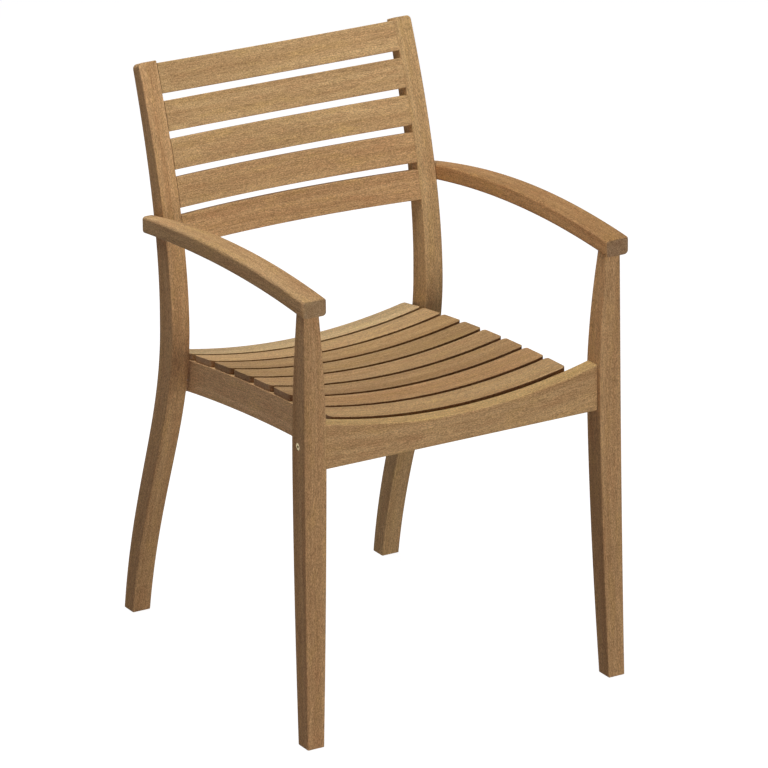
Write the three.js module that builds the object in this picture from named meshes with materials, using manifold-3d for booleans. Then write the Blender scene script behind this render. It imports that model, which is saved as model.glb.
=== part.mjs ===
// Slatted teak armchair with a bowed back, a dished seat and arched arms.
// Millimetres, +Z up, the front towards -Y, the floor at zero.
// While it is built, Y is counted from the front face of the front legs at seat height.

import * as THREE from 'three';
import { mergeVertices } from 'three/addons/utils/BufferGeometryUtils.js';
import Module from 'manifold-3d';

const wasm = await Module();
wasm.setup();

// Clearances that every joint shares
const fitGap = 0.3; // between two pieces that touch
const overrun = 2; // how far a cutting tool runs past the face that it opens

// Seat
const seatHeight = 474.6; // top of the slat ends at the front of the seat
const seatDish = 20.9; // how far the middle of a slat lies below its ends
const seatFall = 29.8; // how far the seat drops from the front to the rear posts
const seatDepth = 439.8; // from the front face of the legs to the front face of the posts
const slatCount = 8;
const slatEndGap = 5.3; // between the end of a slat and the inner face of the post
const slatSpacing = 8; // open gap between two slats
const slatFrontGap = 8.6; // between the front rail and the first slat
const slatRearReach = 56.3; // rear edge of the last slat behind the front face of the posts
const slatThickness = 10.1;
const slatCorner = 6; // rounding of a slat's corners, seen from above
const slatEase = 0.8; // softening of the long edges

// Front legs
const legInset = 8.6; // outer face inside the outer face of the arm, at its top
const legSplay = 7; // how much further out the foot stands
const legFootWidth = 27.1;
const legSeatWidth = 35.7;
const legTopWidth = 23.8;
const legFootDepth = 28;
const legSeatDepth = 36.7;
const legTopDepth = 22.4;
const legWaistDrop = 27; // the thickest part lies this far below the front of the seat
const legToe = 5; // the foot stands this far in front of the face at the waist
const legEase = 1.5;
const legFootShare = 1.69; // how fast the leg swells above the floor
const legNeckShare = 1.67; // how late it thins below the arm

// Rear posts
const postReach = 199.1; // inner face from the middle of the chair, halfway up
const postSplay = 3; // how much further out the foot stands than the top
const postWidth = 29.5;
const postHeight = 869.2; // front corner of the top
const postWaistRise = 15.3; // the front edge is furthest forward this far above the front of the seat
const postFootSweep = 140.1; // how far the foot stands behind the waist
const postTopSweep = 86.3; // how far the top leans behind the waist
const postFootDepth = 27.6;
const postSeatDepth = 38.1;
const postTopDepth = 21;
const postFootLean = THREE.MathUtils.degToRad(10.6);
const postTopLean = THREE.MathUtils.degToRad(21.3);
const postEase = 1.5;
const postCorner = 7; // rounding of the outer corner of the top
const postFootHandleShare = 0.432; // pull of the curves' handles, in shares of their heights
const postLowerHandleShare = 0.311;
const postUpperHandleShare = 0.365;
const postTopHandleShare = 0.284;
const postTaperShare = 1.04;

// Front rail
const frontRailHeight = 62.9; // at its ends
const frontRailSetback = 6.9; // behind the face of the legs
const frontRailThickness = 27;
const frontRailEase = 3.5;
const frontTenonLength = 18;
const frontTenonThickness = 12;
const frontTenonHeight = 36;

// Side rails
const sideRailThickness = 24;
const sideRailHeight = 50.1;
const sideRailEase = 1.5;
const sideTenonLength = 10;
const sideTenonThickness = 10;
const sideTenonHeight = 26;

// Rear rail
const rearRailThickness = 16;
const rearRailHeight = 44; // at its ends
const rearRailSetback = 22; // behind the front face of the posts
const rearRailEase = 1.5;
const rearTenonLength = 14; // into the post, beyond the side rail
const rearTenonThickness = 8;
const rearTenonHeight = 18;

// Bearer that holds up the middle of the slats
const bearerWidth = 26;
const bearerHeight = 23;
const bearerEase = 1.5;
const bearerTenonLength = 8;
const bearerTenonWidth = 14;
const bearerTenonHeight = 13;

// Back slats
const backSlatCount = 5;
const backSlatHeight = 44.6;
const backSlatSpacing = 11.1;
const backSlatThickness = 15;
const backSlatBow = 29.4; // how far the middle lies behind the ends
const backSlatDrop = 4.1; // top edge of the first slat below the end of the posts
const backSlatSetback = 0.3; // behind the front face of the posts
const backSlatEase = 1.2;
const backTenonLength = 12;
const backTenonThickness = 8;
const backTenonHeight = 30;

// Arms
const armNose = 10.8; // in front of the face of the legs
const armHeight = 680.6; // top of the arch
const armCrownPlace = 167; // how far the top of the arch lies behind the face of the legs
const armArchRadius = 1778;
const armThickness = 25;
const armFrontWidth = 38.3;
const armRearWidth = 19.4;
const armTaperStart = 54; // where the outer face starts to draw in
const armTaperShare = 3.2; // how late it draws in
const armEndSetback = 1.6; // in front of the back of the post
const armCorner = 6; // rounding of the outer corners of the ends, seen from above
const armInnerCorner = 2; // rounding of the inner corner of the nose
const armEase = 4; // softening of the long edges above
const armLowerEase = 5; // and of those below
const armEndEase = 1; // softening round both ends
const armTenonWidth = 14;
const armTenonDepth = 12;
const armTenonHeight = 12;

// Dowels, bolts and screws
const slatDowelRadius = 3;
const slatDowelUp = 6; // into the slat
const slatDowelDown = 12; // into the rail
const armDowelRadius = 4;
const armDowelSpacing = 14;
const armDowelInPost = 12;
const armDowelInArm = 15;
const boltRadius = 3;
const boltHeadRadius = 5.5;
const boltHeadLength = 5;
const boltSocketRadius = 2;
const boltSocketDepth = 3;
const boltSink = 0.6; // the head lies this far below the face of the leg
const boltLength = 64; // below the head
const boltHeight = 38; // above the bottom of the front rail
const nutRadius = 5;
const nutLength = 18;
const nutInset = 18; // from the tip of the bolt to the axis of its nut
const screwRadius = 2.2;
const screwHeadRadius = 4.4;
const screwHeadLength = 3.5;
const screwLength = 40;
const screwTip = 5;
const screwSpacing = 18;
const screwRise = 5; // the pair sits above the middle of the side rail, where the post is widest
const screwSink = 0.8; // below the inner face of the side rail
const screwSetback = 17; // behind the front face of the post at seat height
const drillSides = 12;

// Steps along the curved pieces
const legSteps = 14;
const postSteps = 12; // below the waist, and again above it
const armSteps = 20;
const slatSteps = 12;
const railSteps = 12;
const cornerSteps = 3;

const teak = { color: 0xb08850, roughness: 0.62, metalness: 0 };
const darkTeak = { color: 0x93693d, roughness: 0.66, metalness: 0 };
const beech = { color: 0xc9a673, roughness: 0.7, metalness: 0 };
const brass = { color: 0xb8923f, roughness: 0.35, metalness: 1 };
const steel = { color: 0x9c9c98, roughness: 0.35, metalness: 1 };

// Lines that several pieces share

/** Height of the slat ends' top at a distance behind the face of the legs. */
const seatLine = (y) => seatHeight - seatFall * (y / seatDepth) ** 2;

/** Slope of the seat at the same place. */
const seatSlope = (y) => -2 * seatFall * y / seatDepth ** 2;

/** How far the seat lies below its ends at a distance from the middle of the chair. */
const dishAt = (x) => seatDish * (1 - (x / slatReach) ** 2);

/** Underside of the slats. */
const seatUnderside = (x, y) => seatLine(y) - dishAt(x) - slatThickness;

const armTop = (y) => armHeight - armArchRadius + Math.sqrt(armArchRadius ** 2 - (y - armCrownPlace) ** 2);

const postInner = (z) => postReach + postSplay * (1 / 2 - z / postHeight);

const slatReach = postInner(seatLine(seatDepth)) - slatEndGap;
const legWaist = seatHeight - legWaistDrop;
const postWaist = seatHeight + postWaistRise;
const frontRailBottom = seatHeight - frontRailHeight;
const frontRailBack = frontRailSetback + frontRailThickness;
const frontRailTop = (x) => seatHeight - dishAt(x);
const rearRailFront = seatDepth + rearRailSetback;
const rearRailBack = rearRailFront + rearRailThickness;
const rearRailBottom = seatUnderside(postReach, rearRailBack) - rearRailHeight;
const sideRailOuter = postInner(seatLine(seatDepth)) - fitGap;
const sideRailInner = sideRailOuter - sideRailThickness;
const sideRailMiddle = sideRailOuter - sideRailThickness / 2;

// Front edge of a rear post, as points (y, z)
const waistPoint = new THREE.Vector2(seatDepth, postWaist);
const footPoint = new THREE.Vector2(seatDepth + postFootSweep, 0);
const topPoint = new THREE.Vector2(seatDepth + postTopSweep, postHeight);
const backRise = postHeight - postWaist;
const footHandle = new THREE.Vector2(-Math.sin(postFootLean), Math.cos(postFootLean));
const topHandle = new THREE.Vector2(-Math.sin(postTopLean), -Math.cos(postTopLean));
const upright = new THREE.Vector2(0, 1);
const legCurve = new THREE.CubicBezierCurve(
  footPoint,
  footPoint.clone().addScaledVector(footHandle, postWaist * postFootHandleShare),
  waistPoint.clone().addScaledVector(upright, -postWaist * postLowerHandleShare),
  waistPoint,
);
const backCurve = new THREE.CubicBezierCurve(
  waistPoint,
  waistPoint.clone().addScaledVector(upright, backRise * postUpperHandleShare),
  topPoint.clone().addScaledVector(topHandle, backRise * postTopHandleShare),
  topPoint,
);
const backLength = backCurve.getLength();

/** Place and direction on the post's front edge, at a distance below its top. */
function backPlace(below) {
  const share = 1 - below / backLength;
  const along = backCurve.getTangentAt(share);
  return { point: backCurve.getPointAt(share), along, rearward: new THREE.Vector2(along.y, -along.x) };
}

/** Distance below the top of the posts of the middle of a back slat, the top one being number 0. */
const backSlatPlace = (index) => backSlatDrop + backSlatHeight / 2 + index * (backSlatHeight + backSlatSpacing);

// The arms end just short of the back of the posts
const armPostDrop = backLength * (postHeight - armTop(seatDepth)) / backRise;
const armPost = backPlace(armPostDrop);
const armPostDepth = postBackDepth(1 - armPostDrop / backLength);
const armEnd = armPost.point.x + armPostDepth - armEndSetback;
const armInner = postInner(armTop(seatDepth) - armThickness) + postWidth + fitGap;

/** Thickness of the post above the waist, square to its front edge. */
function postBackDepth(share) {
  return postSeatDepth - (postSeatDepth - postTopDepth) * share ** postTaperShare;
}

const armUnderside = (y) => armTop(y) - armThickness;

/** Outer face of an arm, straight at the front and drawn in towards the post. */
function armOuter(y) {
  const share = Math.max(0, (y - armTaperStart) / (armEnd - armTaperStart));
  return armInner + armFrontWidth - (armFrontWidth - armRearWidth) * share ** armTaperShare;
}

const legTop = armUnderside(legTopDepth / 2) - fitGap;

/** Size of a leg that swells from the floor to the waist and thins again below the arm. */
function legSwell(z, foot, waist, top) {
  if (z < legWaist) return waist - (waist - foot) * (1 - z / legWaist) ** legFootShare;
  return waist - (waist - top) * ((z - legWaist) / (legTop - legWaist)) ** legNeckShare;
}

const legTopReach = armInner + armFrontWidth - legInset;
const legOuter = (z) => legTopReach + legSplay * (1 - z / legTop);
const legInner = (z) => legOuter(z) - legSwell(z, legFootWidth, legSeatWidth, legTopWidth);
const legFront = (z) => -legToe * Math.max(0, 1 - z / legWaist) ** legFootShare;
const legDepth = (z) => legSwell(z, legFootDepth, legSeatDepth, legTopDepth);

// Solids

/** Turns a closed geometry into a solid that can be cut and joined. */
function solidOf(geometry) {
  const bare = new THREE.BufferGeometry();
  bare.setAttribute('position', geometry.getAttribute('position').clone());
  if (geometry.index) bare.setIndex(geometry.index.clone());
  const merged = mergeVertices(bare);
  const vertProperties = new Float32Array(merged.getAttribute('position').array);
  const triVerts = new Uint32Array(merged.index.array);
  return new wasm.Manifold(new wasm.Mesh({ numProp: 3, vertProperties, triVerts }));
}

/** Closed body through a row of rings, all with the same number of points. */
function loft(rings) {
  const count = rings[0].length;
  const positions = rings.flat().flatMap((p) => [p.x, p.y, p.z]);
  const last = (rings.length - 1) * count;
  const index = [];
  for (let r = 0; r < rings.length - 1; r++) {
    for (let i = 0; i < count; i++) {
      const a = r * count + i;
      const b = r * count + (i + 1) % count;
      index.push(a, b, b + count, a, b + count, a + count);
    }
  }
  for (let i = 1; i < count - 1; i++) {
    index.push(0, i + 1, i);
    index.push(last, last + i, last + i + 1);
  }
  const geometry = new THREE.BufferGeometry();
  geometry.setAttribute('position', new THREE.Float32BufferAttribute(positions, 3));
  geometry.setIndex(signedVolume(positions, index) < 0 ? index.reverse() : index);
  return solidOf(geometry);
}

/** Volume inside a triangle mesh, negative when its faces point inwards. */
function signedVolume(positions, index) {
  const corner = (i) => new THREE.Vector3().fromArray(positions, 3 * index[i]);
  let sum = 0;
  for (let i = 0; i < index.length; i += 3) sum += corner(i).dot(corner(i + 1).cross(corner(i + 2)));
  return sum;
}

/** Ring of points round a section whose corners are softened, all alike or each by its own distance. */
function softRing(corners, softening, facets = 1) {
  return corners.flatMap((corner, i) => {
    const ease = Array.isArray(softening) ? softening[i] : softening;
    const before = corners[(i + corners.length - 1) % corners.length];
    const after = corners[(i + 1) % corners.length];
    const start = corner.clone().addScaledVector(before.clone().sub(corner).normalize(), ease);
    const end = corner.clone().addScaledVector(after.clone().sub(corner).normalize(), ease);
    return new THREE.QuadraticBezierCurve3(start, corner, end).getPoints(facets);
  });
}

/** Corners of an upright rectangle across the chair's length, for rings that follow each other along Y. */
function cornersAlongY(y, inner, outer, topInner, topOuter, bottom) {
  return [
    new THREE.Vector3(outer, y, topOuter),
    new THREE.Vector3(inner, y, topInner),
    new THREE.Vector3(inner, y, bottom),
    new THREE.Vector3(outer, y, bottom),
  ];
}

/** Box between two opposite corners. */
function box(low, high) {
  const size = high.map((value, axis) => value - low[axis]);
  const middle = high.map((value, axis) => (value + low[axis]) / 2);
  return solidOf(new THREE.BoxGeometry(...size).translate(...middle));
}

/** Round bar from one point along an axis named 'x', 'y' or 'z'. */
function bar(radius, from, axis, length) {
  const profile = [[0, 0], [radius, 0], [radius, length], [0, length]];
  return turned(profile, from, axis);
}

/** Body turned from a profile of (radius, distance) pairs, set along an axis, with its sign in axis[0]. */
function turned(profile, from, axis) {
  const points = profile.map(([radius, distance]) => new THREE.Vector2(radius, distance));
  const geometry = new THREE.LatheGeometry(points, drillSides);
  const directions = {
    x: new THREE.Vector3(1, 0, 0),
    y: new THREE.Vector3(0, 1, 0),
    z: new THREE.Vector3(0, 0, 1),
    '-x': new THREE.Vector3(-1, 0, 0),
  };
  const turn = new THREE.Quaternion().setFromUnitVectors(new THREE.Vector3(0, 1, 0), directions[axis]);
  return solidOf(geometry.applyQuaternion(turn).translate(...from));
}

/** Low and high corners of a tenon that runs across the chair, grown by a clearance for its mortise. */
function crossTenon(side, shoulder, root, length, [y, thickness], [z, height], grow) {
  const ends = [side * (shoulder - root), side * (shoulder + length + grow)].sort((a, b) => a - b);
  return box(
    [ends[0], y - thickness / 2 - grow, z - height / 2 - grow],
    [ends[1], y + thickness / 2 + grow, z + height / 2 + grow],
  );
}

/** Tenon that runs along the chair's length between two distances. */
function lengthTenon([x, width], [start, end], [z, height], grow) {
  return box(
    [x - width / 2 - grow, start - grow, z - height / 2 - grow],
    [x + width / 2 + grow, end + grow, z + height / 2 + grow],
  );
}

// Front legs

const frontShoulder = Math.min(legInner(frontRailBottom), legInner(legWaist), legInner(seatHeight)) - fitGap;
const frontTenonMiddle = frontRailBottom + boltHeight;
const frontRailMiddle = frontRailSetback + frontRailThickness / 2;

/** Mortise or tenon of the front rail in a leg. */
const frontTenon = (side, grow) => crossTenon(
  side, frontShoulder, frontTenonLength, frontTenonLength,
  [frontRailMiddle, frontTenonThickness], [frontTenonMiddle, frontTenonHeight], grow,
);

/** Outer face of the leg where its bolt goes in. */
const boltFace = Math.min(legOuter(frontTenonMiddle - boltHeadRadius), legOuter(frontTenonMiddle + boltHeadRadius));
const boltSeat = boltFace - boltSink - boltHeadLength;

/** Hole for the bolt's shank, through the leg and into the rail, with the wider hole for its head. */
function boltHole(side) {
  const tip = boltSeat - boltLength - fitGap;
  const shaft = [side * tip, frontRailMiddle, frontTenonMiddle];
  const mouth = [side * (boltSeat - fitGap), frontRailMiddle, frontTenonMiddle];
  const axis = side > 0 ? 'x' : '-x';
  const shank = bar(boltRadius + fitGap, shaft, axis, boltSeat - tip);
  const head = bar(boltHeadRadius + fitGap, mouth, axis, boltHeadLength + boltSink + Math.abs(legSplay) + overrun);
  return shank.add(head);
}

/** Tenon on top of the leg, or its mortise in the arm. */
function armTenon(side, grow) {
  const x = side * (legOuter(legTop) + legInner(legTop)) / 2;
  const y = legFront(legTop) + legTopDepth / 2;
  return box(
    [x - armTenonWidth / 2 - grow, y - armTenonDepth / 2 - grow, legTop - armTenonHeight],
    [x + armTenonWidth / 2 + grow, y + armTenonDepth / 2 + grow, legTop + armTenonHeight + grow],
  );
}

/** One ring round a leg at a height, set in by a distance for the softened foot. */
function legRing(side, z, inset) {
  const outer = side * (legOuter(z) - inset);
  const inner = side * (legInner(z) + inset);
  const front = legFront(z) + inset;
  const rear = legFront(z) + legDepth(z) - inset;
  return softRing([
    new THREE.Vector3(outer, front, z),
    new THREE.Vector3(inner, front, z),
    new THREE.Vector3(inner, rear, z),
    new THREE.Vector3(outer, rear, z),
  ], legEase - inset / 2);
}

function frontLeg(side) {
  const rings = [legRing(side, 0, legEase / 2), legRing(side, legEase / 2, 0)];
  for (let i = 1; i < legSteps; i++) rings.push(legRing(side, legTop * i / legSteps, 0));
  rings.push(legRing(side, legTop, 0).map((p) => p.setZ(armUnderside(p.y) - fitGap)));
  return loft(rings).add(armTenon(side, 0)).subtract(frontTenon(side, fitGap)).subtract(boltHole(side));
}

// Front rail

const boltTip = boltSeat - boltLength;

/** Cross nut in the back of the front rail, or the hole that it is pushed into. */
function crossNut(side, grow) {
  const from = [side * (boltTip + nutInset), frontRailBack - nutLength - grow, frontTenonMiddle];
  const length = grow > 0 ? nutLength + grow + overrun : nutLength - fitGap;
  return bar(nutRadius + grow, from, 'y', length);
}

function frontRail() {
  const rings = [];
  for (let i = 0; i <= railSteps; i++) {
    const x = THREE.MathUtils.lerp(-frontShoulder, frontShoulder, i / railSteps);
    rings.push(softRing([
      new THREE.Vector3(x, frontRailSetback, frontRailTop(x)),
      new THREE.Vector3(x, frontRailSetback, frontRailBottom),
      new THREE.Vector3(x, frontRailBack, frontRailBottom),
      new THREE.Vector3(x, frontRailBack, frontRailTop(x)),
    ], frontRailEase, 2));
  }
  let rail = loft(rings);
  for (const side of [-1, 1]) {
    rail = rail.add(frontTenon(side, 0)).subtract(boltHole(side)).subtract(crossNut(side, fitGap));
    rail = rail.subtract(sideFrontTenon(side, fitGap));
  }
  return rail.subtract(bearerFrontTenon(fitGap));
}

// Side rails

const sideFrontMiddle = seatUnderside(sideRailMiddle, frontRailBack) - sideRailHeight / 2;

const sideFrontTenon = (side, grow) => lengthTenon(
  [side * sideRailMiddle, sideTenonThickness],
  [frontRailBack - sideTenonLength, frontRailBack + sideTenonLength],
  [sideFrontMiddle, sideTenonHeight], grow,
);

function sideRail(side) {
  const rings = [];
  for (let i = 0; i <= railSteps; i++) {
    const y = THREE.MathUtils.lerp(frontRailBack + fitGap, rearRailBack, i / railSteps);
    const topInner = seatUnderside(sideRailInner, y) - fitGap;
    const topOuter = seatUnderside(sideRailOuter, y) - fitGap;
    const bottom = seatUnderside(sideRailOuter, y) - sideRailHeight;
    const corners = cornersAlongY(y, side * sideRailInner, side * sideRailOuter, topInner, topOuter, bottom);
    rings.push(softRing(corners, sideRailEase));
  }
  let rail = loft(rings).add(sideFrontTenon(side, 0)).subtract(rearTenon(side, fitGap));
  for (let i = 0; i < slatCount; i++) rail = rail.subtract(slatDowel(side, i, fitGap));
  for (const level of [-1, 1]) rail = rail.subtract(postScrew(side, level, fitGap));
  return rail;
}

// Rear rail

const rearRailMiddle = rearRailFront + rearRailThickness / 2;
const rearTenonMiddle = rearRailBottom + rearTenonHeight;

const rearShoulder = sideRailInner - fitGap;

/** Tenon of the rear rail through the side rail and into the post, or its mortises. */
const rearTenon = (side, grow) => crossTenon(
  side, rearShoulder, rearTenonLength, postReach - rearShoulder + rearTenonLength,
  [rearRailMiddle, rearTenonThickness], [rearTenonMiddle, rearTenonHeight], grow,
);

function rearRail() {
  const rings = [];
  for (let i = 0; i <= railSteps; i++) {
    const x = THREE.MathUtils.lerp(-rearShoulder, rearShoulder, i / railSteps);
    rings.push(softRing([
      new THREE.Vector3(x, rearRailFront, seatUnderside(x, rearRailFront) - fitGap),
      new THREE.Vector3(x, rearRailFront, rearRailBottom),
      new THREE.Vector3(x, rearRailBack, rearRailBottom),
      new THREE.Vector3(x, rearRailBack, seatUnderside(x, rearRailBack) - fitGap),
    ], rearRailEase));
  }
  return loft(rings).add(rearTenon(-1, 0)).add(rearTenon(1, 0)).subtract(bearerRearTenon(fitGap));
}

// Bearer

const bearerFrontMiddle = seatUnderside(0, frontRailBack) - bearerHeight / 2;
const bearerRearMiddle = seatUnderside(0, rearRailFront) - bearerHeight / 2;

const bearerFrontTenon = (grow) => lengthTenon(
  [0, bearerTenonWidth], [frontRailBack - bearerTenonLength, frontRailBack + bearerTenonLength],
  [bearerFrontMiddle, bearerTenonHeight], grow,
);

const bearerRearTenon = (grow) => lengthTenon(
  [0, bearerTenonWidth], [rearRailFront - bearerTenonLength, rearRailFront + bearerTenonLength],
  [bearerRearMiddle, bearerTenonHeight], grow,
);

function seatBearer() {
  const rings = [];
  for (let i = 0; i <= railSteps; i++) {
    const y = THREE.MathUtils.lerp(frontRailBack + fitGap, rearRailFront - fitGap, i / railSteps);
    const top = seatUnderside(0, y) - fitGap;
    const corners = cornersAlongY(y, -bearerWidth / 2, bearerWidth / 2, top, top, top - bearerHeight);
    rings.push(softRing(corners, bearerEase));
  }
  return loft(rings).add(bearerFrontTenon(0)).add(bearerRearTenon(0));
}

// Seat slats, number 0 being the one at the rear

const slatsFront = frontRailBack + slatFrontGap;
const slatPitch = (seatDepth + slatRearReach + slatSpacing - slatsFront) / slatCount;
const slatWidth = slatPitch - slatSpacing;
const slatCentres = Array.from({ length: slatCount }, (_, i) => (
  slatsFront + slatPitch * (slatCount - i) - slatSpacing - slatWidth / 2
));

/** How far a corner rounding draws in an edge, at a distance from the end. */
function cornerInset(radius, distance) {
  if (distance >= radius) return 0;
  return radius - Math.sqrt(radius ** 2 - (radius - distance) ** 2);
}

/** Distances from an end at which its rounded corner gets a ring. */
const cornerPlaces = (radius) => Array.from({ length: cornerSteps }, (_, i) => (
  radius * (1 - Math.cos(i / cornerSteps * Math.PI / 2))
));

/** Places along a bar from end to end, closer together in its rounded ends. */
function stations(start, end, radius, steps) {
  const round = cornerPlaces(radius);
  const inside = Array.from({ length: steps + 1 }, (_, i) => (
    THREE.MathUtils.lerp(start + radius, end - radius, i / steps)
  ));
  return [...round.map((d) => start + d), ...inside, ...round.map((d) => end - d).reverse()];
}

function seatSlat(number) {
  const centre = slatCentres[number];
  const rings = stations(-slatReach, slatReach, slatCorner, slatSteps).map((x) => {
    const inset = cornerInset(slatCorner, slatReach - Math.abs(x));
    const corner = (reach, drop) => new THREE.Vector3(
      x, centre + reach, seatLine(centre) + seatSlope(centre) * reach - dishAt(x) - drop,
    );
    const half = slatWidth / 2 - inset;
    return softRing([corner(-half, 0), corner(half, 0), corner(half, slatThickness), corner(-half, slatThickness)],
      slatEase);
  });
  let slat = loft(rings);
  for (const side of [-1, 1]) slat = slat.subtract(slatDowel(side, number, fitGap));
  return slat;
}

/** Dowel that pins a slat to the rail below it, or its hole. */
function slatDowel(side, number, grow) {
  const y = slatCentres[number];
  const from = [side * sideRailMiddle, y, seatUnderside(sideRailMiddle, y) - slatDowelDown - grow];
  return bar(slatDowelRadius + grow, from, 'z', slatDowelUp + slatDowelDown + 2 * grow);
}

// Rear posts

/** One ring round a post between two points on its front and back edge, set in further on its outer side. */
function postRing(side, front, rear, inset, outerInset = inset) {
  const across = rear.clone().sub(front).normalize().multiplyScalar(inset);
  const a = front.clone().add(across);
  const b = rear.clone().sub(across);
  const corner = (reach, p) => new THREE.Vector3(side * (postInner(p.y) + reach), p.x, p.y);
  return softRing([
    corner(postWidth - outerInset, a), corner(inset, a), corner(inset, b), corner(postWidth - outerInset, b),
  ], postEase - inset / 2);
}

/** Depth of the leg part of a post, from the foot to the waist. */
const postLegDepth = (share) => THREE.MathUtils.lerp(postFootDepth, postSeatDepth, Math.sin(share * Math.PI / 2));

function rearPost(side) {
  const rings = [];
  const legEnds = (share) => {
    const front = legCurve.getPointAt(share);
    return [front, front.clone().add(new THREE.Vector2(postLegDepth(share), 0))];
  };
  const [footFront, footRear] = legEnds(0);
  rings.push(postRing(side, footFront, footRear, postEase / 2));
  const lift = new THREE.Vector2(0, postEase / 2);
  rings.push(postRing(side, footFront.clone().add(lift), footRear.clone().add(lift), 0));
  for (let i = 1; i < postSteps; i++) rings.push(postRing(side, ...legEnds(i / postSteps), 0));
  const drops = Array.from({ length: postSteps + 1 }, (_, i) => (
    THREE.MathUtils.lerp(backLength, postCorner, i / postSteps)
  ));
  for (const drop of [...drops, ...cornerPlaces(postCorner).reverse()]) {
    const { point, rearward } = backPlace(drop);
    const depth = postBackDepth(1 - drop / backLength);
    const inset = drop > 0 ? 0 : postEase / 2;
    const rear = point.clone().addScaledVector(rearward, depth);
    rings.push(postRing(side, point, rear, inset, cornerInset(postCorner, drop)));
  }
  let post = loft(rings);
  for (let i = 0; i < backSlatCount; i++) post = post.subtract(backTenon(side, i, fitGap));
  for (const end of [-1, 1]) post = post.subtract(armDowel(side, end, fitGap));
  for (const level of [-1, 1]) post = post.subtract(postScrew(side, level, fitGap));
  return post.subtract(rearTenon(side, fitGap));
}

// Back slats

/** Point in a back slat: across the chair, up the slat from its middle, and behind its front face. */
function backPoint(index, x, up, behind) {
  const { point, along, rearward } = backPlace(backSlatPlace(index));
  const bowed = backSlatSetback + backSlatBow * (1 - (x / postReach) ** 2) + behind;
  const place = point.clone().addScaledVector(along, up).addScaledVector(rearward, bowed);
  return new THREE.Vector3(x, place.x, place.y);
}

/** Tenon at the end of a back slat, or its mortise in the post. */
function backTenon(side, index, grow) {
  const half = backTenonHeight / 2 + grow;
  const middle = backSlatThickness / 2;
  const thick = backTenonThickness / 2 + grow;
  const root = side * (postReach - backTenonThickness);
  const tip = side * (postReach + backTenonLength + grow);
  const rings = [root, tip].map((x) => {
    const corner = (up, behind) => backPoint(index, side * postReach, up, behind).setX(x);
    return [corner(half, middle - thick), corner(-half, middle - thick), corner(-half, middle + thick),
      corner(half, middle + thick)];
  });
  return loft(rings);
}

function backSlat(index) {
  const half = backSlatHeight / 2;
  const rings = [];
  for (let i = 0; i <= slatSteps; i++) {
    const place = THREE.MathUtils.lerp(-1, 1, i / slatSteps);
    const ring = softRing([
      backPoint(index, place * postReach, half, 0),
      backPoint(index, place * postReach, -half, 0),
      backPoint(index, place * postReach, -half, backSlatThickness),
      backPoint(index, place * postReach, half, backSlatThickness),
    ], backSlatEase);
    rings.push(ring.map((p) => p.setX(place * (postInner(p.z) - fitGap))));
  }
  return loft(rings).add(backTenon(-1, index, 0)).add(backTenon(1, index, 0));
}

// Arms

function arm(side) {
  const rings = stations(-armNose, armEnd, armCorner, armSteps).map((y) => {
    const toEnd = Math.min(y + armNose, armEnd - y);
    const lip = cornerInset(armEndEase, toEnd);
    const outer = side * (armOuter(y) - cornerInset(armCorner, toEnd));
    const inner = side * (armInner + cornerInset(armInnerCorner, y + armNose));
    const top = armTop(y) - lip;
    const corners = cornersAlongY(y, inner, outer, top, top, armUnderside(y) + lip);
    return softRing(corners, [armEase, armEase, armLowerEase, armLowerEase], 2);
  });
  let piece = loft(rings).subtract(armTenon(side, fitGap));
  for (const end of [-1, 1]) piece = piece.subtract(armDowel(side, end, fitGap));
  return piece;
}

/** Dowel between a post and an arm, or its hole. */
function armDowel(side, end, grow) {
  const y = armPost.point.x + armPostDepth / 2 + end * armDowelSpacing / 2;
  const z = armTop(y) - armThickness / 2;
  const joint = (postReach + postWidth + armInner) / 2;
  const from = [side * (joint - armDowelInPost - grow), y, z];
  return bar(armDowelRadius + grow, from, side > 0 ? 'x' : '-x', armDowelInPost + armDowelInArm + 2 * grow);
}

// Bolts, nuts and screws

function legBolt(side) {
  const end = boltSeat + boltHeadLength;
  const profile = [
    [0, boltTip], [boltRadius, boltTip], [boltRadius, boltSeat], [boltHeadRadius, boltSeat],
    [boltHeadRadius, end], [boltSocketRadius, end], [boltSocketRadius, end - boltSocketDepth],
    [0, end - boltSocketDepth],
  ];
  return turned(profile, [0, frontRailMiddle, frontTenonMiddle], side > 0 ? 'x' : '-x');
}

function legNut(side) {
  return crossNut(side, 0).subtract(boltHole(side));
}

/** Screw from the inside of a side rail into the post, or its hole. */
function postScrew(side, level, grow) {
  const start = sideRailInner + screwSink;
  const y = seatDepth + screwSetback;
  const z = seatUnderside(sideRailMiddle, y) - sideRailHeight / 2 + screwRise + level * screwSpacing / 2;
  const mouth = grow > 0 ? -screwSink - overrun : 0;
  const tip = screwLength + grow;
  const profile = [
    [0, mouth], [screwHeadRadius + grow, mouth], [screwHeadRadius + grow, 0],
    [screwRadius + grow, screwHeadLength], [screwRadius + grow, tip - screwTip], [0, tip],
  ];
  const closed = grow > 0 ? profile : profile.filter((_, i) => i !== 2);
  return turned(closed, [side * start, y, z], side > 0 ? 'x' : '-x');
}

// Assembly

const chair = new THREE.Group();
const foremost = Math.min(-armNose, -legToe);
const rearmost = Math.max(footPoint.x + postFootDepth, armEnd);
chair.position.y = -(foremost + rearmost) / 2;

/** Adds a solid to the chair as a named mesh with a finish of its own. */
function addPiece(name, solid, finish) {
  const { vertProperties, triVerts } = solid.getMesh();
  const geometry = new THREE.BufferGeometry();
  geometry.setAttribute('position', new THREE.BufferAttribute(vertProperties, 3));
  geometry.setIndex(new THREE.BufferAttribute(triVerts, 1));
  geometry.computeVertexNormals();
  const mesh = new THREE.Mesh(geometry, new THREE.MeshStandardMaterial(finish));
  mesh.name = name;
  chair.add(mesh);
}

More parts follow.
